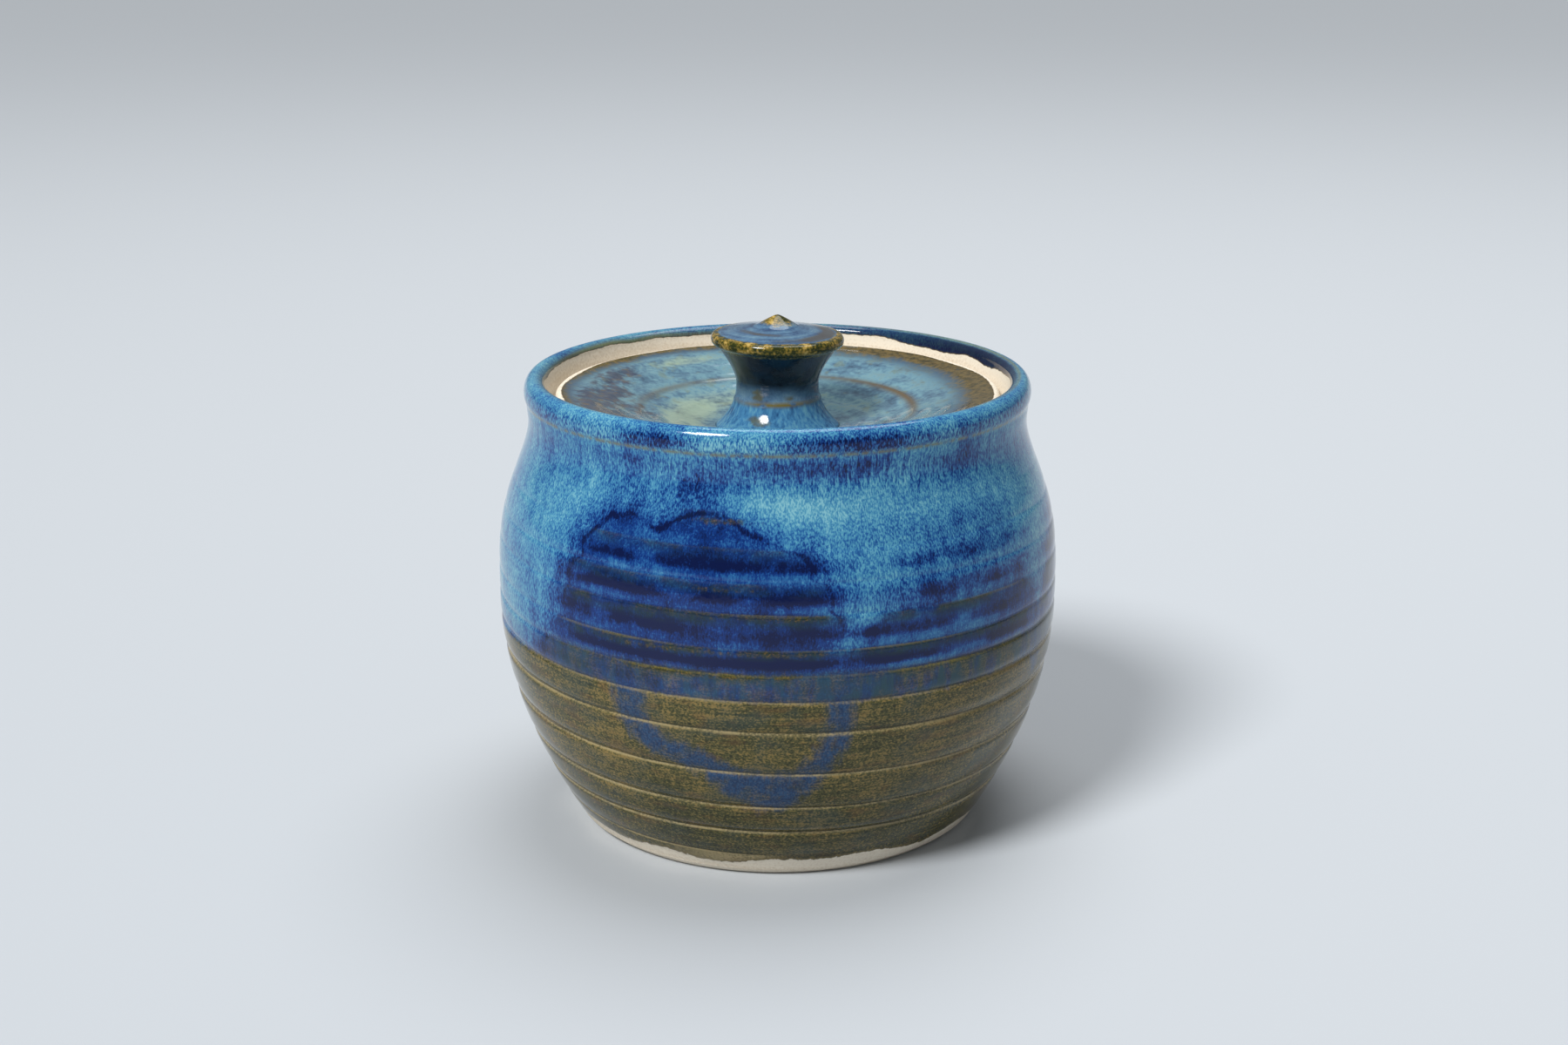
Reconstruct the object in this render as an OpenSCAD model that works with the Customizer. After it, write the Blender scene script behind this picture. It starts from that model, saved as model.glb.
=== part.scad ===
// Lidded stoneware jar, thrown on the wheel.
// Inside the jar's rolled rim is a gallery, a flat ledge that a dished lid drops into.
// The lid lifts straight off by its thrown knob.
// Millimetres, +Z up, the table at z = 0 and the wheel's axis on Z.

/* [Jar] */
// Diameter of the belly at its widest
belly_d = 140; // [134:1:152]
// Height of the widest part of the belly
belly_z = 57; // [50:1:64]
// Diameter of the foot where it stands on the table
foot_d = 100; // [90:1:108]
// Radius that the wall gains for each unit of height as it leaves the foot
foot_flare = 0.62; // [0.5:0.02:0.74]
// Diameter of the neck under the rim
neck_d = 123; // [118:1:128]
// Height of the jar at the top of its rim
jar_h = 112; // [106:1:120]
// Thickness of the thrown wall from the belly up
wall = 4.8; // [4:0.1:5.6]
// Thickness of the wall down at the foot
foot_wall = 7; // [5.6:0.1:9]
// Thickness of the floor over the turned foot
floor_t = 5.5; // [4.5:0.5:8]
// Radius of the inside corner between floor and wall
floor_round = 12; // [8:1:16]

/* [Foot] */
// Height of the bevel cut under the edge of the foot
foot_bevel = 1.8; // [1:0.1:2.4]
// Width of the ring that stands on the table
foot_ring_w = 8; // [6:0.5:12]
// Depth turned out of the underside inside that ring
foot_recess = 1.6; // [0.8:0.1:2.5]

/* [Throwing rings] */
// Number of creases between the round bands that the fingers left outside
ring_count = 10; // [6:1:14]
// Height of the lowest crease
ring_low_z = 14.4; // [10:0.2:20]
// Drop from the top of the rim to the highest crease
ring_high_drop = 25.2; // [22:0.2:34]
// Depth of the lowest crease
crease_low = 0.7; // [0.3:0.05:1.2]
// Depth of the highest crease
crease_high = 0.3; // [0.1:0.05:0.8]

/* [Rim and gallery] */
// Height of the rolled rim above its lower edge
rim_h = 5.8; // [5:0.2:7]
// How far the roll stands out past the neck
rim_overhang = 0.9; // [0.5:0.1:1.6]
// Drop from the rim's crest to the widest line of the roll
roll_drop = 3.7; // [3:0.1:4.6]
// Drop from the rim's crest to its inner lip
lip_drop = 1.8; // [1.2:0.1:2.6]
// Drop from the top of the rim to the neck
neck_drop = 10.5; // [9:0.5:13]
// Clay between the neck's outside and the gallery's wall at the ledge
gallery_wall = 6; // [5:0.1:7]
// How far the gallery's wall leans out between the ledge and the lip
gallery_lean = 2; // [1:0.1:2.6]
// Depth of the ledge below the top of the rim
ledge_drop = 8.4; // [7:0.2:10]
// Width of the ledge
ledge_w = 5; // [4:0.2:6.4]
// Thickness of the ledge at its lip
ledge_t = 4.2; // [3.5:0.1:5.5]

/* [Lid] */
// Gap between the lid's edge and the gallery's wall
lid_gap = 0.7; // [0.4:0.1:1.2]
// Height of the lid's edge above the ledge
lid_edge_h = 4.2; // [3.4:0.1:5.2]
// Rounding of the lid's upper edge
lid_round = 1.4; // [0.8:0.1:2]
// Thickness of the lid's dished plate
lid_t = 4.5; // [3.8:0.1:5]
// Depth of the dish below the lid's edge
dish_depth = 9.4; // [7:0.2:11]

/* [Knob] */
// Diameter of the knob's cap
knob_d = 32.8; // [28:0.2:38]
// Height of the knob from the lid's dish to its tip
knob_h = 27.6; // [24:0.2:32]
// Diameter of the knob's waist
waist_d = 20.4; // [16:0.2:23]
// Height of the waist above the dish
waist_h = 11; // [9:0.2:13]
// Diameter of the flare that is joined to the lid
flare_d = 31; // [27:0.5:35]
// Thickness of the cap's rounded rim
cap_rim_t = 2.8; // [2.2:0.1:4]
// Rise of the cap's conical top from its rim to the foot of the point
cap_rise = 1.8; // [1:0.1:3]
// Diameter of the point thrown on the top of the cap
tip_d = 11; // [8:0.2:13]
// Height of that point
tip_h = 2.8; // [1.6:0.1:3.4]

/* [Hidden] */
$fn = 128;

// Steps along one band, one long curve and one small round
band_steps = 6;
curve_steps = 12;
arc_steps = 6;

// Jar
belly_r = belly_d / 2;
foot_r = foot_d / 2;
toe_r = foot_r + foot_bevel;
neck_r = neck_d / 2;
neck_z = jar_h - neck_drop;
floor_z = foot_recess + floor_t;
foot_in_r = foot_r - foot_ring_w;
ring_high_z = jar_h - ring_high_drop;
// How late the shoulder turns in between belly and neck, and how the creases close up towards the rim
shoulder_power = 1.8;
ring_closing = 0.06;
// How squarely a band turns in to its creases, and how soon the highest crease runs out up the shoulder
band_power = 2.5;
crease_fade = 8;

// Rim and gallery
rim_z = jar_h - rim_h;
rim_r = neck_r + rim_overhang;
// The undercut below the roll: its height, and how far the collar has come out by then
undercut_h = 0.6;
collar_r = neck_r + rim_overhang / 3;
gallery_r = neck_r - gallery_wall;
lip_r = gallery_r + gallery_lean;
crest_r = (rim_r + lip_r) / 2;
ledge_z = jar_h - ledge_drop;
mouth_r = gallery_r - ledge_w;
ledge_lip = ledge_t / 4;
ledge_low_z = ledge_z - ledge_t;
ledge_root_z = ledge_low_z - (gallery_wall + ledge_w) * 2 / 3;

// Lid
lid_r = gallery_r - lid_gap;
lid_step_r = mouth_r - lid_gap;
lid_flat_r = lid_r - lid_round;
lid_top_z = ledge_z + lid_edge_h;
dish_z = lid_top_z - dish_depth;
// Share of the dish's fall that is an even slope, with the rest easing in and out
dish_slope = 0.45;

// Knob
knob_r = knob_d / 2;
waist_r = waist_d / 2;
waist_z = dish_z + waist_h;
flare_r = flare_d / 2;
tip_r = tip_d / 2;
tip_z = dish_z + knob_h;
cap_round = cap_rim_t * 0.4;
cap_r = knob_r - cap_round;
cap_top_z = tip_z - tip_h - cap_rise;
cap_low_z = cap_top_z - cap_rim_t;
// How sharply the stem flares at the lid, and spreads under the cap
flare_power = 2.4;
spread_power = 1.6;

// Smooth step from 0 to 1
function ease(u) = u * u * (3 - 2 * u);

// Even steps from a to b
function steps(a, b, n) = [for (i = [0 : n]) a + (b - a) * i / n];

// Points of a circular or elliptical arc between two angles
function arc(x, z, rx, rz, a0, a1) = [for (a = steps(a0, a1, arc_steps)) [x + rx * cos(a), z + rz * sin(a)]];

// Radius of the outside between foot and belly, leaving the foot at its own flare
function low_wall_r(u) =
    toe_r + (belly_r - toe_r) * ease(u) + foot_flare * (belly_z - foot_bevel) * u * pow(1 - u, 2);

// Radius of the outside between belly and neck
function high_wall_r(u) = belly_r - (belly_r - neck_r) * ease(pow(u, shoulder_power));

// Radius of the outside at a height, over the bands
function wall_r(z) = z < belly_z
    ? low_wall_r((z - foot_bevel) / (belly_z - foot_bevel))
    : high_wall_r(min(1, (z - belly_z) / (neck_z - belly_z)));

// Radius of the inside at a height: the wall thickens from the belly down to the foot
function inner_r(z) = wall_r(z) - wall - (foot_wall - wall) * pow(max(0, 1 - z / belly_z), 2);

// Height of a crease, counted up from the foot
function crease_z(k) = let (u = k / (ring_count - 1))
    ring_low_z + (ring_high_z - ring_low_z) * (u + ring_closing * sin(180 * u));

// Depth of a crease, shallower towards the rim
function crease_depth(k) = crease_low + (crease_high - crease_low) * k / (ring_count - 1);

// One round band, from the crease under it to just below the next
function band(z0, z1, depth) = [
    for (j = [0 : band_steps - 1]) let (u = j / band_steps, z = z0 + (z1 - z0) * u)
        [wall_r(z) - depth * pow(abs(2 * u - 1), band_power), z]
];

// Plain wall from the bevelled foot up to just below the lowest crease
function toe() = [
    for (j = [0 : band_steps - 1]) let (u = j / band_steps, z = foot_bevel + (ring_low_z - foot_bevel) * u)
        [wall_r(z) - crease_low * pow(u, crease_fade), z]
];

// Plain wall from the highest crease up to the neck
function shoulder() = [
    for (u = steps(0, 1, curve_steps)) let (z = ring_high_z + (neck_z - ring_high_z) * u)
        [wall_r(z) - crease_high * pow(1 - u, crease_fade), z]
];

// Outside from the bevelled foot up to the neck
function outside() = concat(
    [[foot_r, 0]],
    toe(),
    [for (k = [0 : ring_count - 2]) each band(crease_z(k), crease_z(k + 1), crease_depth(k))],
    shoulder()
);

// Rolled rim: an undercut lower edge, a bulge, a round crest and a lip over the gallery
function rim() = concat(
    [[collar_r, rim_z - undercut_h]],
    arc(crest_r, jar_h - roll_drop, rim_r - crest_r, roll_drop, asin((roll_drop - rim_h) / roll_drop), 90),
    arc(crest_r, jar_h - lip_drop, crest_r - lip_r, lip_drop, 105, 180)
);

// Gallery: the flat ledge, its rounded lip and the clay that carries it
function gallery() = concat(
    [[gallery_r, ledge_z]],
    arc(mouth_r + ledge_lip, ledge_z - ledge_lip, ledge_lip, ledge_lip, 90, 180),
    [for (u = steps(0, 1, arc_steps))
        [mouth_r + (inner_r(ledge_root_z) - mouth_r) * ease(u), ledge_low_z + (ledge_root_z - ledge_low_z) * u]]
);

// Inside from under the ledge down to a round corner that runs into the floor
corner_lean = atan(inner_r(floor_z + floor_round) - inner_r(floor_z + floor_round - 1));
corner_z = floor_z + floor_round * (1 - sin(corner_lean));
corner_r = inner_r(corner_z) - floor_round * cos(corner_lean);
function inside() = concat(
    [for (i = [1 : curve_steps - 1]) let (z = ledge_root_z + (corner_z - ledge_root_z) * i / curve_steps)
        [inner_r(z), z]],
    arc(corner_r, floor_z + floor_round, floor_round, floor_round, -corner_lean, -90)
);

// Underside: the turned hollow and the ring that stands on the table
function underside() = [
    [0, floor_z],
    [0, foot_recess],
    [foot_in_r - foot_recess, foot_recess],
    [foot_in_r, 0]
];

module jar_body() {
    color([0.16, 0.40, 0.60])
        rotate_extrude()
            polygon(concat(outside(), rim(), gallery(), inside(), underside()));
}

// Height of the lid's top: a dish that is flat under the knob
function dish_top(r) = let (u = (r - flare_r) / (lid_flat_r - flare_r))
    dish_z + dish_depth * (dish_slope * u + (1 - dish_slope) * ease(u));

function dish_line(r0, r1, depth) = [for (r = steps(r0, r1, curve_steps)) [r, dish_top(r) - depth]];

// Lid: dished on top, turned flat underneath where it sits on the ledge
module lid() {
    color([0.36, 0.50, 0.56])
        rotate_extrude()
            polygon(concat(
                [[0, dish_z]],
                dish_line(flare_r, lid_flat_r, 0),
                arc(lid_flat_r, lid_top_z - lid_round, lid_round, lid_round, 75, 0),
                [[lid_r, ledge_z], [lid_step_r, ledge_z]],
                dish_line(lid_step_r, flare_r, lid_t),
                [[0, dish_z - lid_t]]
            ));
}

// Stem of the knob: a flare from the lid in to the waist, then out under the cap
function stem() = concat(
    [for (u = steps(1, 0, curve_steps)) [waist_r + (flare_r - waist_r) * pow(u, flare_power), waist_z - waist_h * u]],
    [for (u = steps(0, 1, curve_steps))
        [waist_r + (cap_r - waist_r) * pow(u, spread_power), waist_z + (cap_low_z - waist_z) * u]]
);

// Knob: a lump of clay thrown to a waisted stem, a round-edged cap and a point
module lid_knob() {
    color([0.22, 0.36, 0.46])
        rotate_extrude()
            polygon(concat(
                [[0, dish_z]],
                stem(),
                arc(cap_r, cap_low_z + cap_rim_t / 2, cap_round, cap_rim_t / 2, -60, 80),
                [[tip_r, tip_z - tip_h]],
                arc(0, tip_z - tip_h, tip_r * 0.6, tip_h, 45, 90)
            ));
}

jar_body();
lid();
lid_knob();
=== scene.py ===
import math

import bmesh
import bpy
import numpy as np
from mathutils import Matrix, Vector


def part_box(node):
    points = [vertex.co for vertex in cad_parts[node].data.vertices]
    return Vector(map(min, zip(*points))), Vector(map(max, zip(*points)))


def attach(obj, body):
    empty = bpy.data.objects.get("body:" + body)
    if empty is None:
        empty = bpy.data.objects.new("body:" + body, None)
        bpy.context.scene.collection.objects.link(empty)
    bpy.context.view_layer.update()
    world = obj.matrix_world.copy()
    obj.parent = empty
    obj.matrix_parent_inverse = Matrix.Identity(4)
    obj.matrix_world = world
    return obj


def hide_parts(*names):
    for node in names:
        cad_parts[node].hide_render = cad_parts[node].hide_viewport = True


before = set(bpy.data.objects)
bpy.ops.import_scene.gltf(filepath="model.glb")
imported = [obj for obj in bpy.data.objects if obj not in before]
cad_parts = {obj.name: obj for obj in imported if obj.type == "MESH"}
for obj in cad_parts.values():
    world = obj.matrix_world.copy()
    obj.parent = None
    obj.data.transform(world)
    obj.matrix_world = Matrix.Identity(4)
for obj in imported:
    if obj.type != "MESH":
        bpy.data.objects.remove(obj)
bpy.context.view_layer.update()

# Jar: a round stoneware pot, thrown on the wheel with fingers that left a spiral of soft bands outside.
# The rim is rolled over, and a gallery cut inside it carries the lid. The foot is turned and left bare.
# It is dipped in a breaking olive glaze, and a blue one is poured over the top half and runs down.
MM = 0.001
_, jar_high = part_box("jar_body")
belly_margin = 0.1
belly_r = min(jar_high.x, jar_high.y) / MM - belly_margin
jar_h = jar_high.z / MM
belly_z = 57
foot_r = 50
foot_bevel = 1.8
foot_ring_w = 8
foot_recess = 1.6
foot_flare = 0.62
neck_r = 61.5
neck_z = jar_h - 10.5
shoulder_power = 1.8
wall = 4.8
foot_wall = 7
floor_z = 7.1
floor_round = 12
row_h = 0.4
jar_turns = 216

rim_h = 5.8
rim_r = neck_r + 0.9
roll_drop = 3.7
lip_r = 57.5
lip_drop = 1.8
crest_r = (rim_r + lip_r) / 2
gallery_r = 55.5
ledge_z = jar_h - 8.4
ledge_lip = 1.05
ledge_root_z = 92
mouth_r = 50.5


def ease(u):
    return u * u * (3 - 2 * u)


def arc(r, z, width, height, start, end, count=8):
    """Points of an elliptical arc between two angles in degrees."""
    turns = np.radians(np.linspace(start, end, count))
    return [(r + width * math.cos(a), z + height * math.sin(a)) for a in turns]


def wall_r(z):
    """Radius of the outside at a height, before the finger bands."""
    toe_r = foot_r + foot_bevel
    low = np.clip((z - foot_bevel) / (belly_z - foot_bevel), 0, 1)
    low_r = toe_r + (belly_r - toe_r) * ease(low) + foot_flare * (belly_z - foot_bevel) * low * (1 - low) ** 2
    high = np.clip((z - belly_z) / (neck_z - belly_z), 0, 1)
    high_r = belly_r - (belly_r - neck_r) * ease(high ** shoulder_power)
    return np.where(z < belly_z, low_r, high_r)


def inner_r(z):
    """Radius of the inside, where the wall thickens from the belly down to the foot."""
    return wall_r(z) - wall - (foot_wall - wall) * np.clip(1 - z / belly_z, 0, 1) ** 2


def throw(outline, turns):
    """A piece from the wheel: its outline in millimetres, turned once round the axis and closed."""
    bm = bmesh.new()
    points = [bm.verts.new((r * MM, 0, z * MM)) for r, z in outline]
    line = [bm.edges.new(pair) for pair in zip(points, points[1:])]
    bmesh.ops.spin(bm, geom=points + line, axis=(0, 0, 1), cent=(0, 0, 0),
                   angle=math.tau, steps=turns, use_merge=True)
    bmesh.ops.remove_doubles(bm, verts=bm.verts, dist=0.002 * MM)
    bmesh.ops.recalc_face_normals(bm, faces=bm.faces)
    for face in bm.faces:
        face.smooth = True
    return bm


def around(bm):
    """Angle from the front in degrees, radius and height in millimetres of every point."""
    x, y, z = np.array([v.co for v in bm.verts]).T / MM
    return np.degrees(np.arctan2(x, -y)), np.hypot(x, y), z


def move(bm, angle, radius, height):
    turn = np.radians(angle)
    places = np.stack([radius * np.sin(turn), -radius * np.cos(turn), height], axis=1) * MM
    for vert, place in zip(bm.verts, places):
        vert.co = place


def mark(bm, name, values):
    """Keeps one number per point for the glaze to read."""
    layer = bm.verts.layers.float.new(name)
    for vert, value in zip(bm.verts, values):
        vert[layer] = value


def finish_piece(bm, name, material, node, body):
    mesh = bpy.data.meshes.new(name)
    bm.to_mesh(mesh)
    bm.free()
    mesh.materials.append(material)
    piece = bpy.data.objects.new(name, mesh)
    bpy.context.scene.collection.objects.link(piece)
    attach(piece, body)
    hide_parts(node)
    return piece


under_r = foot_r - foot_ring_w - foot_recess
turning_h = 0.18
turning_pitch = 5.6
underside = [(r, foot_recess + turning_h * abs(math.sin(math.pi * r / turning_pitch)))
             for r in np.linspace(0, under_r, 60)]
foot_ring = [(foot_r - foot_ring_w, 0.1), (foot_r - foot_ring_w + 0.4, 0), (foot_r - 4, 0)]
foot_edge = [(foot_r - 0.4, 0), (foot_r, 0.3), (foot_r + 0.9, 1.1),
             (foot_r + foot_bevel - 0.2, foot_bevel - 0.2)]
outside = [(float(wall_r(z)), z) for z in np.arange(foot_bevel + 0.2, neck_z, row_h)]
collar_top_z = jar_h - rim_h - 0.6
collar = [(neck_r + 0.3 * ease(u), neck_z + (collar_top_z - neck_z) * u) for u in np.linspace(0, 1, 8)]
roll = arc(crest_r, jar_h - roll_drop, rim_r - crest_r, roll_drop, -34, 90, 16)
lip = arc(crest_r, jar_h - lip_drop, crest_r - lip_r, lip_drop, 100, 180, 10)
gallery_wall = [(lip_r + (gallery_r - lip_r) * u, jar_h - lip_drop + (ledge_z - jar_h + lip_drop) * u)
                for u in np.linspace(0.1, 0.94, 8)]
ledge = [(gallery_r, ledge_z + 0.05), (gallery_r - 0.4, ledge_z), (mouth_r + ledge_lip + 1, ledge_z)]
ledge_edge = arc(mouth_r + ledge_lip, ledge_z - ledge_lip, ledge_lip, ledge_lip, 90, 180, 6)
ledge_t = 4.2
ledge_low_z = ledge_z - ledge_t
ledge_root = [(mouth_r + (float(inner_r(ledge_root_z)) - mouth_r) * ease(u),
               ledge_low_z + (ledge_root_z - ledge_low_z) * u) for u in np.linspace(0, 1, 10)]
corner_up = 0.62
corner_in = 0.925
corner_z = floor_z + floor_round * corner_up
inside = [(float(inner_r(z)), z) for z in np.linspace(ledge_root_z - 2, corner_z, 36)]
corner_r = float(inner_r(corner_z)) - floor_round * corner_in
inner_floor = arc(corner_r, floor_z + floor_round, floor_round, floor_round, -30, -90, 10)
inner_floor += [(r, floor_z) for r in (30, 20, 10, 0)]

jar = throw(underside + foot_ring + foot_edge + outside + collar + roll + lip + gallery_wall + ledge
            + ledge_edge + ledge_root + inside + inner_floor, jar_turns)
angle, radius, height = around(jar)
on_outside = (radius > wall_r(height) - wall / 2) & (height > foot_bevel) & (height < neck_z + 1)

# The finger spiral outside, by the heights of its creases at the front, and the fainter one inside
crease_heights = [6.8, 14.5, 22.2, 32.1, 43.3, 51.1, 57.6, 63.6, 71.8, 78.6, 86, 93.6, 100.9]
up_band = (np.interp(height, crease_heights, range(len(crease_heights))) + angle / 360) % 1
band_h = np.interp(height, crease_heights[:-1], np.diff(crease_heights))
crease_depth = np.interp(height, [5, 13, 40, 57, 66, 86, 95], [0, 0.75, 0.75, 0.5, 0.25, 0.15, 0])
crease_depth *= 1 + 0.2 * np.sin(np.radians(3 * angle) + height / 9)
widest = 0.5
sunk = np.where(up_band < widest, (1 - up_band / widest) ** 3, ((up_band - widest) / (1 - widest)) ** 9)
radius = np.where(on_outside, radius - crease_depth * sunk, radius)
on_inside = (radius < inner_r(height) + 0.5) & (height > corner_z) & (height < ledge_root_z)
swell_h = 0.3
swell_pitch = 9.5
swell_reach = np.interp(height, [16, 26, 80, 90], [0, 1, 1, 0])
inner_swell = swell_h * np.sin(np.radians(angle) + math.tau * height / swell_pitch) * swell_reach
radius = np.where(on_inside, radius + inner_swell, radius)

# The lower edge of the poured blue glaze, as angle from the front and height
blue_edge = [
    (-180, 66), (-172, 55), (-160, 51), (-148, 54), (-139, 66), (-131, 78), (-121, 83), (-110, 82),
    (-102, 74), (-95, 62), (-86, 54), (-74, 50), (-64, 49), (-58, 51), (-52, 56), (-47, 61), (-45, 67),
    (-44, 75), (-42, 81), (-39, 87), (-36, 90.5), (-30, 91.3), (-26, 90), (-24, 88.5), (-21, 91.6),
    (-15, 93.7), (-10, 92.4), (-5, 89.5), (0, 87.4), (4.5, 84.5), (9, 79), (11.2, 72.5), (12.4, 65),
    (13, 58.8), (13.8, 62), (16.2, 66), (20, 69), (25, 71.5), (34, 73), (48, 73), (56, 71), (61, 65),
    (63, 59), (66, 64), (71, 73), (77, 78), (84, 81), (93, 82), (102, 78), (108, 68), (112, 58), (118, 53),
    (128, 52), (137, 56), (145, 68), (152, 80), (160, 86), (167, 84), (173, 77), (180, 66),
]
# Where the dark blue under it gives way to olive
olive_edge = [(-180, 50), (-150, 48), (-110, 52), (-80, 51), (-58, 52.2), (0, 51), (40, 50.1),
              (70, 50), (100, 47), (125, 46), (150, 51), (180, 50)]
# Blue runs that slid on down over the olive: angle, height and half width along each
blue_runs = [
    [(-29.6, 54, 3), (-29.4, 48, 3.4), (-28, 42, 2.6), (-23, 38, 2.4), (-18, 36, 2.4), (-13.5, 34, 2.3),
     (-9, 30, 3), (-4, 27, 4.2), (0, 27, 4.2), (4, 29.5, 3.2), (8, 34, 2.4), (11, 39, 2.2), (12.2, 44, 2),
     (12.8, 54, 2.6)],
    [(-84, 56, 3.4), (-83, 47, 3), (-80, 40, 2.6), (-78.5, 35, 1.8)],
    [(112, 60, 3.2), (114, 48, 3), (118, 39, 3.2), (126, 33, 3.8), (134, 35, 3), (139, 44, 2.2),
     (140, 55, 2.4)],
    [(-166, 58, 3), (-164, 45, 3.2), (-159, 36, 3.4), (-152, 32, 3.6), (-146, 36, 2.6), (-143, 46, 2),
     (-142, 56, 2.4)],
    [(63, 60, 3), (63.5, 51, 2.6), (64, 46, 1.6)],
]


def beside(line):
    """For each leg of a line drawn round the wall: how far every point is from it, and the share along it."""
    x = np.radians(angle) * belly_r
    legs = [(math.radians(a) * belly_r, z) for a, z, *_ in line]
    for (x0, z0), (x1, z1) in zip(legs, legs[1:]):
        along = ((x - x0) * (x1 - x0) + (height - z0) * (z1 - z0)) / ((x1 - x0) ** 2 + (z1 - z0) ** 2)
        along = np.clip(along, 0, 1)
        yield np.hypot(x - x0 - along * (x1 - x0), height - z0 - along * (z1 - z0)), along


def above(edge):
    """Distance from an edge, positive above it."""
    distance = np.min([away for away, _ in beside(edge)], axis=0)
    return np.copysign(distance, height - np.interp(angle, [a for a, _ in edge], [z for _, z in edge]))


def within(run):
    """Depth inside a run, negative outside it."""
    widths = [width for _, _, width in run]
    legs = zip(beside(run), widths, widths[1:])
    return np.max([w0 + (w1 - w0) * along - away for (away, along), w0, w1 in legs], axis=0)


def patch(at, level, wide, tall, across):
    """A soft patch round an angle and a height or radius: 1 in its middle, fading over its reach each way."""
    off = (angle - at + 180) % 360 - 180
    return np.exp(-(off / wide) ** 2 - ((across - level) / tall) ** 2)


def side(at, wide):
    """A soft share of the way round: 1 at an angle, fading over its reach to both sides."""
    return patch(at, 0, wide, 1, 0)


# Where the blue lies thin and dark, or thick and pale: angle, height, reach each way and strength
blue_patches = [
    (-17, 99, 5, 4, -0.4), (-33, 97.5, 8, 3, -0.05), (-2, 94.5, 12, 3, 0.2), (-7, 100, 8, 2.6, -0.18),
    (8, 96.5, 7, 3, 0.1), (-10, 104, 30, 2.5, -0.18), (16, 92, 8, 4, 0.12), (26, 90, 10, 5, -0.05),
    (12, 103, 14, 3, -0.25), (25, 99, 6, 3, 0.14), (42, 101, 22, 4, -0.24), (43, 86, 16, 7, -0.15),
    (30, 82, 8, 1.5, -0.1), (40, 75, 16, 1.2, -0.06), (40, 79, 20, 7, -0.1), (14, 77, 5, 4, -0.05),
    (13, 65, 1.8, 6, 0.18), (18.5, 67, 3.6, 1.3, -0.3), (19.5, 60.8, 4, 1.2, -0.3), (34, 66, 20, 2.6, 0.2),
    (34, 58.8, 20, 1.4, 0.14), (-42, 54, 10, 3, -0.08), (-20, 72, 30, 14, -0.12), (-3, 60.5, 18, 1.3, -0.28),
    (0, 66.5, 13, 1.4, -0.16), (-14, 79.4, 26, 1.6, 0.1), (-58, 70, 14, 16, -0.05), (-52, 92, 16, 8, -0.1),
    (-57, 99, 14, 4, -0.14), (-50, 78, 6, 4, -0.1), (-48, 104, 22, 3, -0.08), (-4, 59.4, 16, 1.4, -0.22),
    (5, 64.8, 8, 1.2, -0.12), (28, 70, 12, 2.5, 0.13), (90, 98, 16, 5, -0.25), (140, 92, 12, 6, -0.2),
    (165, 100, 10, 4, -0.4), (-100, 97, 10, 4, -0.35), (-150, 90, 14, 8, 0.05), (-128, 70, 12, 8, -0.1),
    (118, 75, 14, 9, -0.2),
]
# The same on the rolled rim, by angle, reach and strength
rim_patches = [
    (-62, 12, -0.12), (-44, 7, -0.05), (-26, 8, -0.55), (-8, 9, 0.14), (2, 4, -0.2), (12, 8, -0.55),
    (21, 5, -0.28), (28, 7, -0.3), (44, 8, -0.12), (66, 14, -0.15), (98, 12, -0.4), (128, 9, 0.1),
    (152, 10, -0.4), (176, 8, 0.05), (-160, 9, -0.35), (-138, 9, 0.1), (-112, 9, -0.4), (-88, 8, 0.05),
]
outer = on_outside | (height > neck_z) & (radius > lip_r - 0.2)
down_band = 1 - up_band
scallop = np.interp(down_band, [0, 0.15, 0.4, 0.62, 0.85, 1], [0, -0.6, -0.8, -0.5, 1.3, 0.4])
scallop = np.where(on_outside, scallop * np.interp(height, [52, 58, 84, 88], [0, 1, 1, 0]), 0)
blue_depth = np.where(outer, above(blue_edge) + scallop, 20)
in_dome = np.interp(blue_depth, [-2.5, 2.5], [1, 0])
turn_rad = np.radians(angle)
right_bands = 0.3 * np.exp(-((angle - 44) / 24) ** 2) + 0.25 * np.exp(-((angle - 130) / 20) ** 2)
band_share = 0.4 * in_dome + (1 - in_dome) * (0.05 + right_bands)
bloom = np.interp(down_band, [0, 0.12, 0.3, 0.46, 0.6, 0.74, 0.9, 1],
                  [0.1, -0.05, -0.2, -0.5, -0.5, 0.05, 0.28, 0.12])
quiet = 1 - 0.85 * patch(-10, 58, 26, 12, height)
bloom = np.where(bloom > 0, bloom * (0.3 + 0.7 * in_dome) * quiet, bloom)
bloom *= band_share * np.interp(height, [51, 57, 59, 84, 89, 98], [0.35, 0.35, 1, 1, 0.35, 0])
thickness = np.zeros(len(height))
for at, level, wide, tall, share in blue_patches:
    thickness += share * patch(at, level, wide, tall, height)
thickness -= 0.04 * in_dome * np.exp(-((height - 54) / 3) ** 2)
roll_low_z = jar_h - rim_h
on_roll = ease(np.clip((height - roll_low_z) / 1.2, 0, 1))
on_top_of_roll = ease(np.clip((height - jar_h + 3) / 2, 0, 1))
thickness *= 1 - on_roll
for at, wide, share in rim_patches:
    thickness += on_roll * (1 - 0.6 * on_top_of_roll) * share * patch(at, jar_h - 3, wide, 4, height)
thickness -= on_roll * (0.06 - 0.04 * on_top_of_roll)
flecks = np.interp(blue_depth, [-3, 3], [0.14, 0.34]) + on_roll * (0.22 - 0.2 * on_top_of_roll)

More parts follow.
